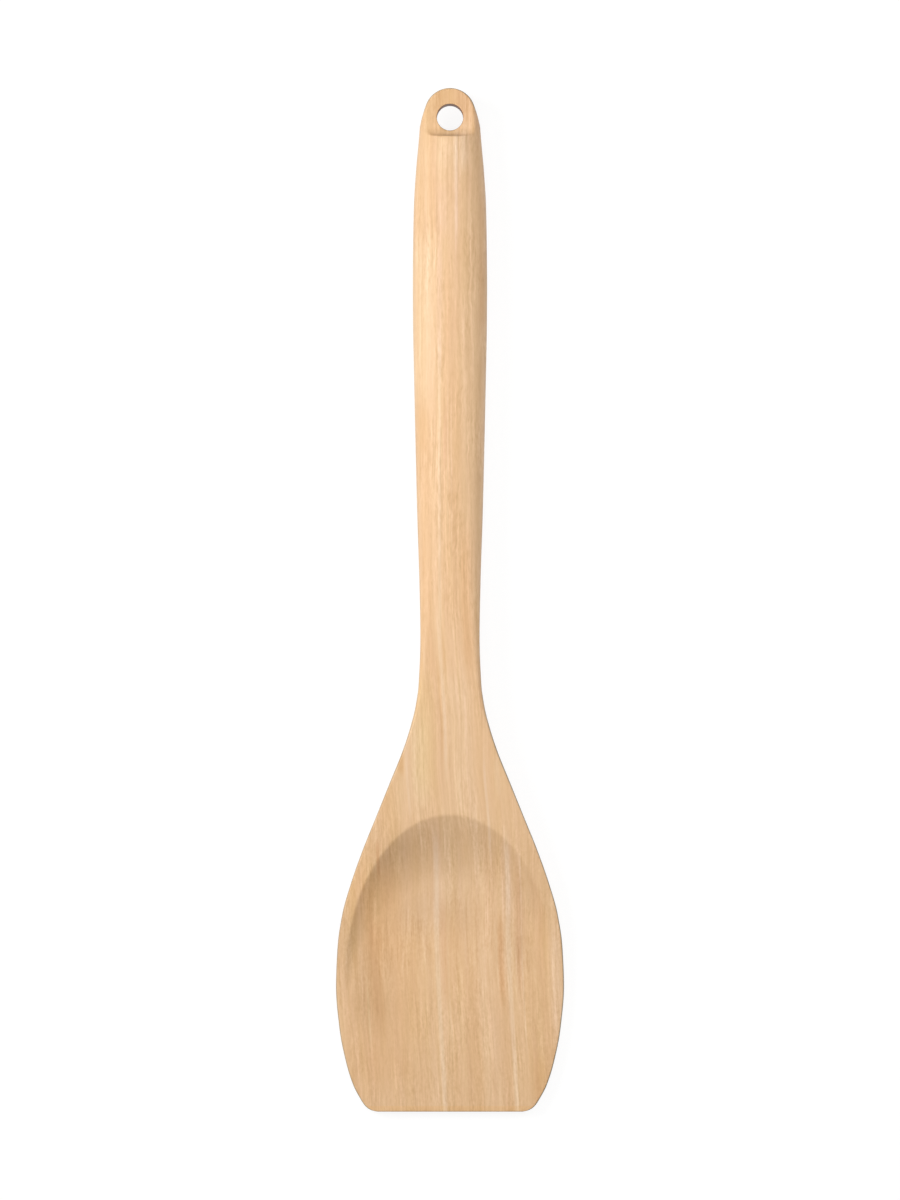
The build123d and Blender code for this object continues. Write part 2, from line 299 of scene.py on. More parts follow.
def tab_flat(places, side):
    """Height of the milled flat and its cove, on the side +1 (top) or -1 (bottom)."""
    cove_middle = LENGTH - TAB_LENGTH + TAB_COVE_RADIUS
    into = np.clip(cove_middle - places, 0, TAB_COVE_RADIUS)
    rise = TAB_COVE_RADIUS - np.sqrt(TAB_COVE_RADIUS ** 2 - into ** 2)
    rise = np.where(places < LENGTH - TAB_LENGTH, THICKNESS, rise)
    return TAB_MIDDLE_HEIGHT + side * (TAB_THICKNESS / 2 + rise)


def surface_height(x, places, side):
    """Height of the upper (side +1) or lower (-1) surface over points seen from above."""
    wide, middle, halves = section_halves(places)
    high, radius, crown, lean = halves[0 if side > 0 else 1]
    x = np.minimum(np.abs(x), wide)
    meeting = wide - radius + radius * np.cos(lean)
    on_side = np.sqrt(np.maximum(radius ** 2 - (x - wide + radius) ** 2, 0))
    on_crown = high - crown + np.sqrt(np.maximum(crown ** 2 - x ** 2, 0))
    return middle + side * np.where(x > meeting, on_side, on_crown)


def cut_height(x, places, height, side):
    """A height of the blank cut back to the scoop, the tip's bevel and the tab's flat."""
    if side < 0:
        return np.maximum(height, tab_flat(places, side))
    scooped = soft_min(height, scoop_height(x, places), SCOOP_RIM_SOFTNESS)
    height = np.where(places < SCOOP_CUT_END_FROM_TIP, scooped, height)
    bevel = TIP_HEIGHT - TIP_BEVEL_DEPTH * (1 - places / TIP_BEVEL_LENGTH)
    bevelled = soft_min(height, bevel, TIP_BEVEL_SOFTNESS)
    height = np.where(places < 2 * TIP_BEVEL_LENGTH, bevelled, height)
    return np.minimum(height, tab_flat(places, side))


def rounding(distance, radius):
    """How far a rounded edge lies inside the sharp one at a distance from it."""
    left = np.clip(radius - distance, 0, radius)
    return radius - np.sqrt(radius ** 2 - left ** 2)


def rows():
    """Places of the mesh's rows along the spoon, and which of them is at the middle of the hole."""
    wall_start = ARCH_FROM_TIP - WALL_ROWS_BEFORE_ARCH
    head = np.arange(HEAD_ROWS_FROM_TIP, wall_start, HEAD_ROW_STEP)
    wall = np.arange(wall_start, ARCH_FROM_TIP + WALL_ROWS_PAST_ARCH, WALL_ROW_STEP)
    flat_start = LENGTH - TAB_LENGTH
    handle = np.arange(wall[-1] + HANDLE_ROWS_GAP, flat_start - HANDLE_ROWS_BEFORE_STEP, HANDLE_ROW_STEP)
    step = flat_start + np.array(STEP_ROWS)
    cove = flat_start + TAB_COVE_RADIUS * np.array(COVE_ROW_SHARES)
    hole = LENGTH - HANG_HOLE_FROM_END
    round_hole = np.linspace(hole - HOLE_SQUARE, hole + HOLE_SQUARE, 2 * HOLE_OUTER_ROWS + 1)
    first_angle = math.asin((round_hole[-1] - LENGTH + TAB_END_RADIUS) / TAB_END_RADIUS)
    angles = np.linspace(first_angle, math.pi / 2, ROUND_END_ROWS + 1)[1:]
    end = LENGTH - TAB_END_RADIUS + TAB_END_RADIUS * np.sin(angles)
    places = np.concatenate([TIP_EDGE_ROWS, head, wall, handle, step, cove, round_hole, end])
    return places, len(places) - len(end) - HOLE_OUTER_ROWS - 1


def half_grid(places, side):
    """X, place and height of every point of the upper or lower half, from the right side to the left."""
    wide, middle, halves = section_halves(places)
    high, radius, crown, lean = [value[:, None] for value in halves[0 if side > 0 else 1]]
    wide, middle = wide[:, None], middle[:, None]
    turn = np.linspace(0, 1, SIDE_COLUMNS + 1)[None, :]
    side_x = wide - radius + radius * np.cos(turn * lean)
    side_z = radius * np.sin(turn * lean)
    meeting = wide - radius + radius * np.cos(lean)
    spread = np.linspace(1, -1, CROWN_COLUMNS + 1)[None, :]
    crown_x = meeting * spread * (1 + RIM_CROWDING_SHARE * (1 - np.abs(spread)))
    crown_z = high - crown + np.sqrt(crown ** 2 - crown_x ** 2)
    x = np.concatenate([side_x[:, :-1], crown_x, -side_x[:, -2::-1]], axis=1)
    z = middle + side * np.concatenate([side_z[:, :-1], crown_z, side_z[:, -2::-1]], axis=1)
    return x, np.repeat(places[:, None], x.shape[1], axis=1), z


def open_hole(x, along, hole_row):
    """Turns the inner square of points round the hole into the hole's circle, and tells which points it
    moved and which lie in the hole.
    """
    middle_column = SIDE_COLUMNS + CROWN_COLUMNS // 2
    row = (np.arange(x.shape[0])[:, None] - hole_row) / HOLE_OUTER_ROWS
    column = (middle_column - np.arange(x.shape[1])[None, :]) / HOLE_OUTER_COLUMNS
    ring = np.maximum(np.abs(row), np.abs(column))
    inner = HOLE_INNER_ROWS / HOLE_OUTER_ROWS
    across, up = column / np.maximum(ring, TINY), row / np.maximum(ring, TINY)
    mouth = HANG_HOLE_RADIUS + HANG_HOLE_EDGE_BREAK
    circle_x = mouth * across * np.sqrt(1 - up ** 2 / 2)
    circle_y = LENGTH - HANG_HOLE_FROM_END + mouth * up * np.sqrt(1 - across ** 2 / 2)
    keep = np.clip((ring - inner) / (1 - inner), 0, 1)
    moved = (ring >= inner - TINY) & (ring < 1)
    x = np.where(moved, circle_x + (x - circle_x) * keep, x)
    along = np.where(moved, circle_y + (along - circle_y) * keep, along)
    return x, along, moved, ring < inner - TINY


def shaped_half(places, hole_row, side):
    """Points of the upper or lower half with its cuts and rounded edges, and which lie in the hole."""
    x, along, z = half_grid(places, side)
    x, along, moved, hole = open_hole(x, along, hole_row)
    z = np.where(moved, surface_height(x, along, side), z)
    z = cut_height(x, along, z, side)
    arch = end_arch(along)
    from_wall = np.minimum(arch - np.abs(x), LENGTH - along)
    inset = np.where(along > LENGTH - TAB_LENGTH, rounding(from_wall, TAB_EDGE_ROUNDING), 0)
    z = z - side * np.minimum(inset, np.abs(z - TAB_MIDDLE_HEIGHT))
    x = np.clip(x, -arch, arch)
    inset = rounding(along, TIP_ROUNDING)
    z = z - side * np.minimum(inset, np.abs(z - (TIP_HEIGHT - TIP_THICKNESS / 2)))
    x = x - np.sign(x) * inset * np.minimum(np.abs(x) / (TIP_EDGE_WIDTH / 2), 1)
    return np.stack([x, along, z], axis=-1), hole


def half_vertices(mesh, points, hole):
    """Vertices of one half in metres, row by row, with None inside the hole."""
    points = (points - (0, LENGTH / 2, 0)) * MM
    return [[None if gone else mesh.verts.new(point) for point, gone in zip(line, gaps)]
            for line, gaps in zip(points, hole)]


def join(mesh, first, second):
    """Faces between two lines of vertices, except in the hole."""
    for k in range(len(first) - 1):
        corners = [first[k], first[k + 1], second[k + 1], second[k]]
        if all(corners):
            mesh.faces.new(corners)


def hole_loop(grid, hole_row):
    """Vertices of the inner square round the hole, in order."""
    middle = SIDE_COLUMNS + CROWN_COLUMNS // 2
    low_row, high_row = hole_row - HOLE_INNER_ROWS, hole_row + HOLE_INNER_ROWS
    low, high = middle - HOLE_INNER_COLUMNS, middle + HOLE_INNER_COLUMNS
    loop = [grid[low_row][k] for k in range(low, high)]
    loop += [grid[i][high] for i in range(low_row, high_row)]
    loop += [grid[high_row][k] for k in range(high, low, -1)]
    return loop + [grid[i][low] for i in range(high_row, low_row, -1)]


def add_hole_wall(mesh, top, bottom):
    """Broken edges and wall of the hole, from the upper loop of vertices to the lower one."""
    middle_y = LENGTH / 2 - HANG_HOLE_FROM_END
    half = TAB_THICKNESS / 2
    edge = HANG_HOLE_EDGE_BREAK
    upper_edge = [(edge * wider, half - edge * lower) for wider, lower in HOLE_EDGE_SHARES]
    straight = half - edge * HOLE_WALL_SHARE
    levels = upper_edge + [(0, height) for height in np.linspace(straight, -straight, HOLE_WALL_LOOPS)]
    levels += [(wider, -height) for wider, height in reversed(upper_edge)]
    loops = [top]
    for wider, height in levels:
        loop = []
        for vertex in top:
            x, y = vertex.co.x / MM, vertex.co.y / MM - middle_y
            scale = (HANG_HOLE_RADIUS + wider) / math.hypot(x, y)
            loop.append(mesh.verts.new((x * scale * MM, (middle_y + y * scale) * MM,
                                        (TAB_MIDDLE_HEIGHT + height) * MM)))
        loops.append(loop)
    loops.append(bottom)
    for upper, lower in zip(loops, loops[1:]):
        join(mesh, upper + upper[:1], lower + lower[:1])


def spoon_mesh():
    """One closed mesh: upper and lower halves, the tip's end face and the hole's wall."""
    places, hole_row = rows()
    upper, hole = shaped_half(places, hole_row, 1)
    lower, _ = shaped_half(places, hole_row, -1)
    lower[:, 0], lower[:, -1] = upper[:, 0], upper[:, -1]
    mesh = bmesh.new()
    top, bottom = (half_vertices(mesh, points, hole) for points in (upper, lower))
    for line, after in zip(top, top[1:]):
        join(mesh, after, line)
    for line, after in zip(bottom, bottom[1:]):
        join(mesh, line, after)
    join(mesh, top[0], bottom[0])
    add_hole_wall(mesh, hole_loop(top, hole_row), hole_loop(bottom, hole_row))
    bmesh.ops.remove_doubles(mesh, verts=mesh.verts, dist=SAME_POINT)
    loose = [vertex for vertex in mesh.verts if not vertex.link_faces]
    bmesh.ops.delete(mesh, geom=loose, context="VERTS")
    bmesh.ops.recalc_face_normals(mesh, faces=mesh.faces)
    return mesh


def sand_step(mesh):
    """Softens the edges at the tab's step by averaging neighbouring points."""
    step = LENGTH / 2 - TAB_LENGTH
    low, high = (step - SANDED_BEFORE_STEP) * MM, (step + SANDED_PAST_STEP) * MM
    chosen = [vertex for vertex in mesh.verts if low < vertex.co.y < high]
    bmesh.ops.smooth_vert(mesh, verts=chosen, factor=SANDING_SHARE,
                          use_axis_x=True, use_axis_y=True, use_axis_z=True)


def add_object(name, data):
    """A new object in the scene."""
    made = bpy.data.objects.new(name, data)
    bpy.context.scene.collection.objects.link(made)
    return made


def make_spoon():
    """The whole spoon as one smooth piece of beech."""
    mesh = spoon_mesh()
    sand_step(mesh)
    data = bpy.data.meshes.new("carved_spoon")
    mesh.to_mesh(data)
    mesh.free()
    data.polygons.foreach_set("use_smooth", [True] * len(data.polygons))
    data.materials.append(beech())
    return add_object("carved_spoon", data)


# The wood's growth layers slant slightly, so a streak that climbs moves to -X by this share of its rise
LAYER_SLANT_SHARE = 0.12
# The grain drifts to +X towards the tip: where each drift begins and ends, and how far to +X it goes
DRIFTS = ((60, -12, 3.0), (84, 106, -1.25), (112, 160, -2.35))
# The layers sway slowly, and the fibres of some ripple along the handle: how quickly each swing changes
# from layer to layer and along the spoon, and its start in the noise
SWAY = (0.15, 0.05, 3.0)
SWAY_WIDTH = 1.2
RIPPLE = (0.5, 0.22, 7.0)
# The scoop cuts across the fibres, so their noise runs faster there by this share and they show shorter
FASTER_IN_SCOOP_SHARE = 0.9

# Noise in long thin bands: width of a band, its length, its start in the noise, detail and roughness
BANDS = {"medium": (3.2, 90.0, 11.0, 2.0, 0.5),
         "blush": (2.0, 40.0, 71.0, 2.0, 0.6),
         "clarity": (5.0, 24.0, 83.0, 1.0, 0.5),
         "fine": (0.9, 40.0, 23.0, 2.0, 0.6),
         "thread": (0.5, 9.0, 37.0, 1.0, 0.5),
         "rays": (0.6, 2.4, 53.0, 2.0, 0.6),
         "lines": (1.1, 60.0, 67.0, 1.0, 0.5),
         "flecks": (0.42, 3.0, 91.0, 1.0, 0.5)}
# How quickly the bands change with height, as a share of how quickly they change across the spoon
BAND_RISE_SHARE = 0.1
MEDIUM_STRENGTH = 0.16
BLUSH_STRENGTH = 0.14
FINE_STRENGTH = 0.4
THREAD_STRENGTH = 0.2
RAYS_STRENGTH = 0.26
FLECK_STRENGTH = -0.07

# Each ramp is two values of what it follows and the two results that they give, which hold beyond them
RIPPLED_LAYERS = (2, 8, 0, 1)
RIPPLE_BEGINS = (150, 190, 0, 1)
RIPPLE_ENDS = (276, 292, 1, 0)
PALE_LINES = (0.6, 0.72, 0, 0.07)
BROWN_LINES = (0.28, 0.4, -0.07, 0)
FLECKS = (0.58, 0.74, 0, 1)
CLARITY = (0.35, 0.65, 0.6, 1.4)
CALM_SHOULDER_BEGINS = (84, 98, 1, 0.78)
CALM_SHOULDER_ENDS = (120, 150, 0.78, 1)
CLEARER_TO_RIGHT = (-8, 3, -0.22, 0.22)
CLEARER_ON_HANDLE = (140, 180, 0, 1)
FLAT_FACES_END = (104, 146, 1, 0)
ROUND_END_BEGINS = (LENGTH - 9, LENGTH - 4, 0, 1)
ABOVE_SIDE_WALL = (0.0, 0.3, 0, 1)
# The painted edge shade is stronger to the right, the side away from the key lamp
EDGE_SHADE_STRONGER_TO_RIGHT = (-4, 4, 1, 1.7)
TIP_BAND = (1.6, 1.9, 1, 0)
HOLE_WALL = (HANG_HOLE_RADIUS + HANG_HOLE_EDGE_BREAK / 4, HANG_HOLE_RADIUS + HANG_HOLE_EDGE_BREAK, 1, 0)
ROUGHNESS = (0.3, 0.7, 0.46, 0.56)

# Streaks of the grain: layer, half width, first and last place from the tip, how much paler they are than
# the wood around them (below zero browner), and how much pinker (below zero greener)
STREAKS = (
    # Scoop
    (-29.5, 1.6, 44, 70, -0.05, -0.04), (-25.7, 0.35, 20, 38, 0.14, -0.06),
    (-22.3, 1.9, 26, 77, -0.1, 0.0), (-21.3, 0.5, 71, 82, -0.16, 0.06),
    (-10.6, 4.6, 21, 56, -0.04, -0.03), (-4.15, 0.8, -9, 83, 0.14, 0.0), (-4.1, 1.5, 58, 86, 0.04, 0.05),
    (-4.15, 0.5, -9, 44, 0.03, 0.0), (-22.6, 2.0, 58, 77, 0.13, -0.03), (-1.9, 1.0, 34, 62, -0.05, 0.03),
    (-0.9, 0.3, 18, 52, 0.06, 0.0), (0.8, 3.0, 34, 62, -0.04, -0.02), (4.8, 1.0, 76, 92, -0.06, 0.0),
    (10.3, 2.8, -9, 52, 0.04, 0.0), (15.2, 0.9, 34, 58, -0.19, 0.02), (17.6, 0.75, -9, 82, 0.14, 0.0),
    (17.6, 1.8, 60, 84, 0.04, 0.04), (20.5, 1.1, 40, 72, -0.05, 0.04), (21.6, 0.3, 20, 80, 0.1, 0.0),
    (25.7, 4.2, 3, 58, -0.05, -0.02), (25.2, 2.0, -2, 16, -0.08, -0.02), (31.5, 1.9, 24, 54, 0.08, 0.03),
    (-20.0, 7.0, 8, 78, -0.07, 0.0), (-22.0, 6.0, 46, 72, -0.08, 0.0), (5.5, 3.0, 0, 46, -0.05, 0.0),
    (24.0, 14.0, -9, 34, -0.01, 0.0), (4.5, 9.0, 64, 92, 0.05, 0.0), (-28.0, 5.0, 4, 44, -0.05, 0.0),
    # Shoulder
    (-17.0, 4.0, 82, 108, -0.04, -0.02), (-12.7, 0.9, 103, 110, -0.16, 0.0),
    (-11.0, 0.45, 90, 111, 0.08, 0.02), (-10.5, 6.0, 86, 122, 0.04, 0.0),
    (-7.3, 3.2, 94, 118, 0.07, -0.03), (-5.4, 3.2, 98, 133, 0.01, -0.07),
    (-0.2, 0.3, 108, 134, -0.09, 0.0), (5.7, 4.5, 90, 133, 0.06, 0.0), (12.5, 0.45, 79, 107, 0.13, 0.02),
    (16.2, 0.8, 96, 108, 0.08, 0.0),
    # Neck and handle
    (-2.1, 1.4, 132, 212, -0.05, 0.0), (-3.7, 2.1, 200, 212, -0.02, -0.02),
    (0.9, 0.5, 103, 150, 0.12, 0.0), (1.8, 0.5, 144, 233, 0.12, 0.0), (1.8, 0.8, 226, 262, 0.05, 0.05),
    (2.1, 0.35, 134, 150, -0.09, 0.0), (5.1, 2.7, 150, 226, -0.05, 0.0), (4.3, 0.25, 176, 222, 0.08, 0.0),
    (5.4, 0.25, 168, 216, 0.08, 0.0), (3.6, 0.6, 196, 212, -0.04, 0.06), (8.7, 1.4, 134, 170, -0.03, 0.0),
    (9.5, 1.3, 136, 176, -0.07, 0.0), (-4.5, 4.0, 216, 264, 0.09, -0.02),
    (4.1, 1.0, 230, 257, -0.05, 0.02), (10.6, 2.0, 176, 278, 0.03, -0.02),
    (6.2, 1.8, 232, 284, -0.02, 0.04), (14.2, 0.7, 240, 276, -0.07, 0.0),
    (-0.5, 1.4, 264, 296, -0.08, 0.0), (2.8, 1.9, 266, 281, 0.02, 0.06), (6.9, 0.5, 264, 298, 0.13, 0.02),
    (4.0, 6.0, 284, 300, 0.05, 0.0), (9.2, 1.2, 286, 300, 0.1, 0.02), (13.7, 1.2, 286, 300, -0.07, -0.02),
    # Hanging end
    (0.0, 5.0, 297, 330, -0.11, -0.04), (10.0, 4.5, 297, 330, -0.1, 0.03),
    (-8.0, 2.2, 294, 304, -0.07, -0.06), (5.5, 2.0, 296, 312, -0.05, -0.03),
    (-4.5, 2.5, 304, 318, 0.05, 0.04),
)
# Patches of painted shade and painted light: layer, half width, first and last place, how much paler
PAINTED_SHADING_PATCHES = ((-25.0, 6.0, 26, 62, -0.1), (-27.5, 4.5, 56, 80, 0.08), (-6.0, 16.0, 56, 82, -0.1),
           (19.0, 6.0, 44, 70, -0.07))
# Shares of a streak's half width at which it begins to fade and is gone, and the longest fade at its ends
STREAK_SIDE_SHARES = (0.35, 1.45)
STREAK_FADE = 14
# Wood that faces the tip, away from the lamps, is darker by this much: painted shade, partly standing for
# its cut fibres
TIP_FACING_SHADE = 0.2

# Rounded edges get painted shade, as they turn away from the lamps. It begins where a surface is only this
# upright, on flat-faced parts and on the oval handle, and is full where the surface is less upright by the
# fade.
# On the handle it has this share of its strength, and a surface has it only if it faces outwards by this
# much
EDGE_BEGINS_FLAT = 0.985
EDGE_BEGINS_OVAL = 0.45
EDGE_FADE = 0.37
EDGE_ON_OVAL = 0.25
FACES_OUT = 0.3

# The wood's colour, and how strongly each effect shows in red, green and blue: streaks, fibres, blush,
# painted shade on rounded edges, the last strip before the tip edge, and the drilled end grain with painted
# shade
BEECH = (0.768, 0.492, 0.268)
STREAK_SHARES = (0.45, 1.0, 1.8)
FIBRE_SHARES = (0.7, 1.0, 1.5)
BLUSH_SHARES = (0.0, -0.2, 0.7)
EDGE_SHADE_SHARES = (-0.48, -0.37, -0.26)
TIP_SHARES = (0.02, -0.02, -0.12)
HOLE_GRAIN_AND_SHADE_SHARES = (-0.8, -1.25, -1.7)

# Relief of the fibres: share of each band in it, its strength, and its height in metres
FINE_RELIEF_SHARE = 0.4
THREAD_RELIEF_SHARE = 0.6
FLECK_RELIEF_SHARE = -0.4
RELIEF_STRENGTH = 0.3
RELIEF_HEIGHT = 0.1 * MM


class Graph:
    """Short calls for the nodes of one material."""

    def __init__(self, name):
        self.material = bpy.data.materials.new(name)
        self.material.use_nodes = True
        self.tree = self.material.node_tree
        self.tree.nodes.clear()

    def node(self, kind, inputs=(), **settings):
        """A new node with its inputs linked or set, in order or by name."""
        made = self.tree.nodes.new(kind)
        for name, value in settings.items():
            setattr(made, name, value)
        pairs = inputs.items() if isinstance(inputs, dict) else enumerate(inputs)
        for name, value in pairs:
            if isinstance(value, bpy.types.NodeSocket):
                self.tree.links.new(value, made.inputs[name])
            else:
                made.inputs[name].default_value = value
        return made

    def math(self, operation, *values, clamp=False):
        return self.node("ShaderNodeMath", values, operation=operation, use_clamp=clamp).outputs[0]

    def times(self, first, *others):
        """Product of all values."""
        for value in others:
            first = self.math("MULTIPLY", first, value)
        return first

    def plus(self, total, amount, strength):
        """Total with an amount added at some strength."""
        return self.math("MULTIPLY_ADD", amount, strength, total)

    def centred(self, noise):
        """Noise from 0 to 1, moved to lie around zero."""
        return self.math("SUBTRACT", noise, 0.5)

    def vector(self, x, y, z):
        return self.node("ShaderNodeCombineXYZ", (x, y, z)).outputs[0]

    def split(self, vector):
        """X, Y and Z of a vector."""
        return self.node("ShaderNodeSeparateXYZ", (vector,)).outputs

    def noise(self, where, detail, roughness=0.5):
        """Noise from 0 to 1 with features about one unit of where across."""
        return self.node("ShaderNodeTexNoise", {"Vector": where, "Scale": 1.0, "Detail": detail,
                                                "Roughness": roughness}).outputs[0]

    def remap(self, value, low, high, first, last):
        """Value from low..high turned smoothly into first..last and held at both ends."""
        return self.node("ShaderNodeMapRange", (value, low, high, first, last), clamp=True,
                         interpolation_type="SMOOTHSTEP").outputs[0]

    def finish(self, surface):
        self.node("ShaderNodeOutputMaterial", {"Surface": surface})
        return self.material


class Grain(Graph):
    """The graph of a wood, with its growth layers and the run of its fibres in millimetres."""

    def __init__(self, name):
        super().__init__(name)
        sockets = self.node("ShaderNodeTexCoord").outputs
        self.facing = self.split(sockets["Normal"])
        self.x, self.y, self.z = (self.times(value, 1 / MM) for value in self.split(sockets["Object"]))
        self.from_tip = self.math("ADD", self.y, LENGTH / 2)
        self.layer = self.plus(self.x, self.math("SUBTRACT", self.z, FLOOR_HEIGHT), LAYER_SLANT_SHARE)
        for first, last, drift in DRIFTS:
            self.layer = self.math("SUBTRACT", self.layer, self.remap(self.from_tip, first, last, 0, drift))
        self.wavy = self.plus(self.layer, self.swing(*SWAY), SWAY_WIDTH)
        rippled = self.times(self.remap(self.layer, *RIPPLED_LAYERS),
                             self.remap(self.from_tip, *RIPPLE_BEGINS),
                             self.remap(self.from_tip, *RIPPLE_ENDS))
        self.fibre_layer = self.plus(self.wavy, self.swing(*RIPPLE), rippled)
        in_scoop = self.math("MINIMUM", self.math("SUBTRACT", self.from_tip, ARCH_FROM_TIP), 0.0)
        self.fibre_run = self.plus(self.y, in_scoop, FASTER_IN_SCOOP_SHARE)

    def swing(self, across, along, start):
        """Slow noise around zero that carries the layers to one side or the other."""
        place = self.vector(self.times(self.layer, across), self.times(self.y, along), start)
        return self.centred(self.noise(place, 1.0))

    def bands(self, kind, where, run):
        """Noise from 0 to 1 in long thin bands of one kind."""
        across, along, start, detail, roughness = BANDS[kind]
        place = self.vector(self.plus(start, where, 1 / across), self.times(run, 1 / along),
                            self.times(self.z, BAND_RISE_SHARE / across))
        return self.noise(place, detail, roughness)

    def streak(self, centre, half, first, last):
        """1 inside a streak of the grain, fading to 0 at its sides and ends."""
        away = self.math("ABSOLUTE", self.math("SUBTRACT", self.layer, centre))
        fading, gone = STREAK_SIDE_SHARES
        fade = min(STREAK_FADE, (last - first) / 2) / 2
        return self.times(self.remap(away, half * fading, half * gone, 1, 0),
                          self.remap(self.from_tip, first - fade, first + fade, 0, 1),
                          self.remap(self.from_tip, last - fade, last + fade, 1, 0))


def streak_tones(grain, medium):
    """How much paler the broad bands and the streaks are, and how much pinker."""
    tone = grain.times(grain.centred(medium), MEDIUM_STRENGTH)
    blush = grain.times(grain.centred(grain.bands("blush", grain.wavy, grain.y)), BLUSH_STRENGTH)
    for *extent, paler, pinker in STREAKS:
        here = grain.streak(*extent)
        tone = grain.plus(tone, here, paler)
        blush = grain.plus(blush, here, pinker)
    return tone, blush


def fibre_clarity(grain):
    """How clearly the fibres show: patchily, less on the shoulder, and more to the right of the handle."""
    patchy = grain.remap(grain.bands("clarity", grain.wavy, grain.y), *CLARITY)
    shoulder = grain.math("MAXIMUM", grain.remap(grain.from_tip, *CALM_SHOULDER_BEGINS),
                          grain.remap(grain.from_tip, *CALM_SHOULDER_ENDS))
    handle = grain.times(grain.remap(grain.layer, *CLEARER_TO_RIGHT),
                         grain.remap(grain.from_tip, *CLEARER_ON_HANDLE))
    return grain.times(patchy, grain.math("ADD", shoulder, handle))


def fibre_tones(grain):
    """How much paler the fibres, thin lines and flecks are than the wood between them, and their relief."""
    fine, thread, rays, lines = (grain.bands(kind, grain.fibre_layer, grain.fibre_run)
                                 for kind in ("fine", "thread", "rays", "lines"))
    fleck = grain.remap(grain.bands("flecks", grain.fibre_layer, grain.y), *FLECKS)
    tone = grain.times(grain.centred(fine), FINE_STRENGTH)
    tone = grain.plus(tone, grain.centred(thread), THREAD_STRENGTH)
    tone = grain.plus(tone, grain.centred(rays), RAYS_STRENGTH)
    tone = grain.math("ADD", tone, grain.remap(lines, *PALE_LINES))
    tone = grain.math("ADD", tone, grain.remap(lines, *BROWN_LINES))
    tone = grain.plus(tone, fleck, FLECK_STRENGTH)
    relief = grain.plus(grain.times(fine, FINE_RELIEF_SHARE), thread, THREAD_RELIEF_SHARE)
    relief = grain.plus(relief, fleck, FLECK_RELIEF_SHARE)
    return grain.times(tone, fibre_clarity(grain)), relief


def edge_painted_shade(grain, from_hole_y):
    """Painted shade: strong on rounded edges beside flat faces, weak on the handle's sides, stronger to the
    right, 0 on faces and in the hole.
    """
    upright = grain.facing[2]
    outward = grain.plus(grain.times(grain.x, grain.facing[0]),
                         grain.math("MAXIMUM", from_hole_y, 0.0), grain.facing[1])
    flat_faced = grain.math("MAXIMUM", grain.remap(grain.from_tip, *FLAT_FACES_END),
                            grain.remap(grain.from_tip, *ROUND_END_BEGINS))
    begins = grain.plus(EDGE_BEGINS_OVAL, flat_faced, EDGE_BEGINS_FLAT - EDGE_BEGINS_OVAL)
    past = grain.math("MULTIPLY", grain.math("SUBTRACT", begins, upright), 1 / EDGE_FADE, clamp=True)
    strength = grain.plus(EDGE_ON_OVAL, flat_faced, 1 - EDGE_ON_OVAL)
    return grain.times(past, strength, grain.math("GREATER_THAN", outward, FACES_OUT),
                       grain.remap(upright, *ABOVE_SIDE_WALL), grain.remap(grain.x, *EDGE_SHADE_STRONGER_TO_RIGHT))


def hole_grain_and_shade(grain, from_hole_y):
    """1 on the wall of the hanging hole, whose end grain is darkened partly as painted shade."""
    square = grain.math("ADD", grain.times(grain.x, grain.x), grain.times(from_hole_y, from_hole_y))
    return grain.remap(grain.math("SQRT", square), *HOLE_WALL)


def painted_shading_tone(grain):
    """How much paler painted light makes the wood, or below zero darker with painted shade: on parts that
    face the tip and in patches.
    """
    tone = grain.times(grain.math("MINIMUM", grain.facing[1], 0.0), TIP_FACING_SHADE)
    for *extent, paler in PAINTED_SHADING_PATCHES:
        tone = grain.plus(tone, grain.streak(*extent), paler)
    return tone


def wood_colour(grain, painted_even_shading, effects):
    """The wood's colour with painted shading alike in all channels and effects that have their own shares.
    """
    channels = []
    for channel, base in enumerate(BEECH):
        change = painted_even_shading
        for amount, shares in effects:
            change = grain.plus(change, amount, shares[channel])
        channels.append(grain.times(grain.math("EXPONENT", change), base))
    return grain.node("ShaderNodeCombineColor", channels).outputs[0]


def beech():
    """Sanded bare beech with its streaks and fibres, painted shade on rounded edges and on parts facing the
    tip, painted shade and light in patches, and the end grain of its drilled hole darkened with painted
    shade.
    """
    grain = Grain("beech")
    medium = grain.bands("medium", grain.wavy, grain.y)
    tone, blush = streak_tones(grain, medium)
    fibres, relief = fibre_tones(grain)
    from_hole_y = grain.math("SUBTRACT", grain.y, LENGTH / 2 - HANG_HOLE_FROM_END)
    effects = ((tone, STREAK_SHARES),
               (fibres, FIBRE_SHARES),
               (blush, BLUSH_SHARES),
               (edge_painted_shade(grain, from_hole_y), EDGE_SHADE_SHARES),
               (grain.remap(grain.from_tip, *TIP_BAND), TIP_SHARES),
               (hole_grain_and_shade(grain, from_hole_y), HOLE_GRAIN_AND_SHADE_SHARES))
    colour = wood_colour(grain, painted_shading_tone(grain), effects)
    bump = grain.node("ShaderNodeBump", {"Strength": RELIEF_STRENGTH, "Distance": RELIEF_HEIGHT,
                                         "Height": relief}).outputs[0]
    shader = grain.node("ShaderNodeBsdfPrincipled", {"Base Color": colour, "Normal": bump,
                                                     "Roughness": grain.remap(medium, *ROUGHNESS)})
    return grain.finish(shader.outputs[0])


# The floor's grey as light meets it, and how much shadow and how much even white the camera sees
FLOOR_GREY = 0.85
SHADOW_GREY = 0.14
EVEN_WHITE = 0.9
FLOOR_HALF_WIDTH = 3.0


def grey(value):
    return value, value, value, 1


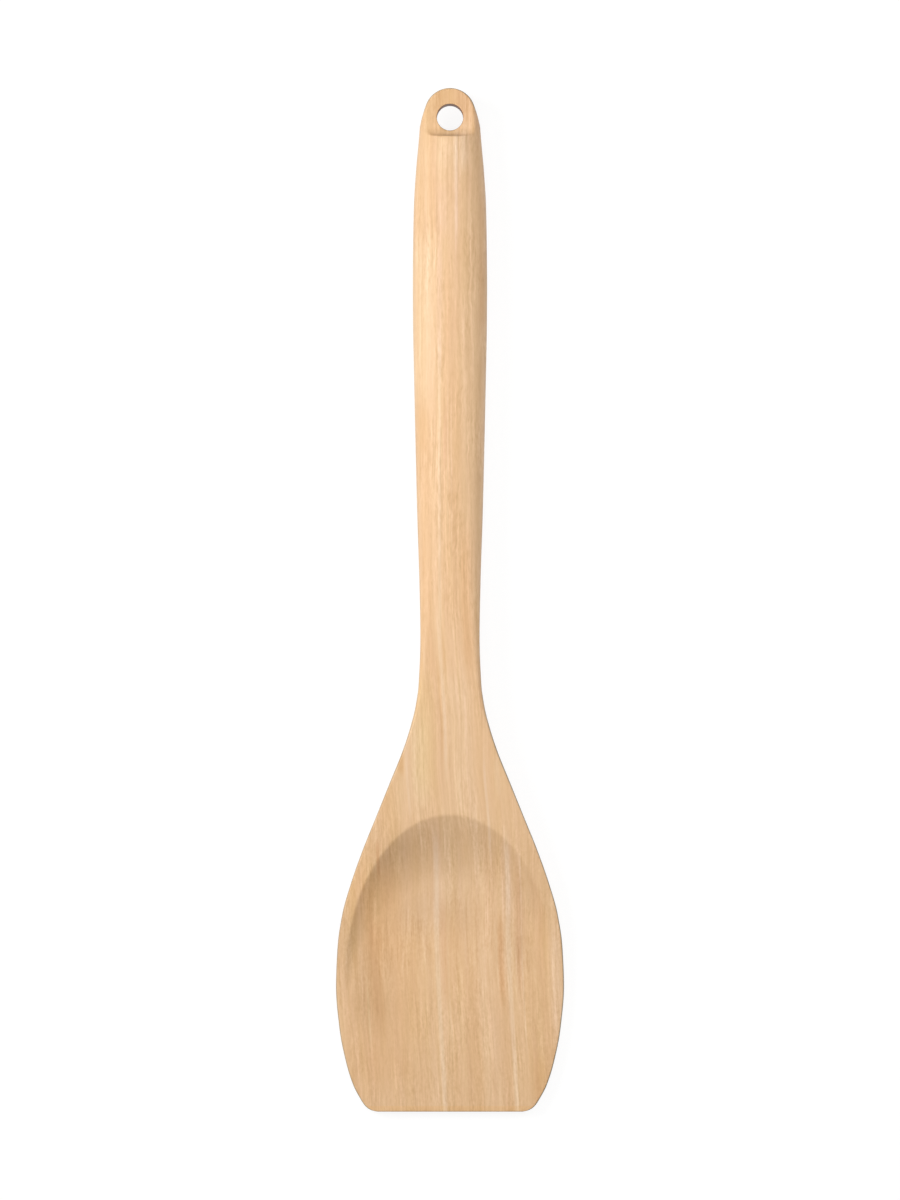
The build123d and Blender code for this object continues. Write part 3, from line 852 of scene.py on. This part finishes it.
def floor_material():
    """White to the camera, while the spoon's soft shadow stays on it."""
    graph = Graph("pale_floor")
    rays = graph.node("ShaderNodeLightPath").outputs
    seen = graph.math("MAXIMUM", rays["Is Camera Ray"], rays["Is Glossy Ray"])
    plain = graph.node("ShaderNodeBsdfDiffuse", {"Color": grey(FLOOR_GREY)}).outputs[0]
    dim = graph.node("ShaderNodeBsdfDiffuse", {"Color": grey(SHADOW_GREY)}).outputs[0]
    white = graph.node("ShaderNodeEmission", {"Color": grey(EVEN_WHITE)}).outputs[0]
    lit = graph.node("ShaderNodeAddShader", (dim, white)).outputs[0]
    return graph.finish(graph.node("ShaderNodeMixShader", (seen, plain, lit)).outputs[0])


def make_floor():
    """A wide floor round the spoon, which isn't part of it."""
    half = FLOOR_HALF_WIDTH
    corners = [(-half, -half, 0), (half, -half, 0), (half, half, 0), (-half, half, 0)]
    data = bpy.data.meshes.new("floor")
    data.from_pydata(corners, [], [(0, 1, 2, 3)])
    data.materials.append(floor_material())
    add_object("floor", data)


# The camera's place in metres, as high as the hole's visible wall says, and the size of its film and lens
CAMERA_PLACE = (0, 0.00029, 1.9)
FILM_HEIGHT = 36
FOCAL_LENGTH = 187.42


def make_camera():
    """Straight above the spoon, looking down."""
    data = bpy.data.cameras.new("camera")
    data.sensor_fit = "VERTICAL"
    data.sensor_height = FILM_HEIGHT
    data.lens = FOCAL_LENGTH
    camera = add_object("camera", data)
    camera.location = CAMERA_PLACE
    bpy.context.scene.camera = camera


# Each lamp as place, diameter and power, all of them aimed at the middle of the spoon
LAMPS = {"key": ((-0.47, 0.17, 0.47), 0.39, 3.3),
         "top": ((0, 0.03, 0.55), 0.3, 0.78),
         "side": ((0.36, 0.07, 0.36), 0.3, 0.56)}
ROOM_STRENGTH = 0.246


def make_light():
    """Soft round lamps and an even white room."""
    for name, (place, size, power) in LAMPS.items():
        data = bpy.data.lights.new(name, "AREA")
        data.shape = "DISK"
        data.size = size
        data.energy = power
        lamp = add_object(name, data)
        lamp.location = place
        lamp.rotation_euler = (-Vector(place)).to_track_quat("-Z", "Y").to_euler()
    world = bpy.data.worlds.new("room")
    world.use_nodes = True
    background = world.node_tree.nodes["Background"]
    background.inputs["Color"].default_value = (1, 1, 1, 1)
    background.inputs["Strength"].default_value = ROOM_STRENGTH
    bpy.context.scene.world = world


make_camera()
make_light()
make_floor()
spoon = make_spoon()
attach(spoon, "root")
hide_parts(NODE)
bpy.context.scene.view_settings.view_transform = "Standard"
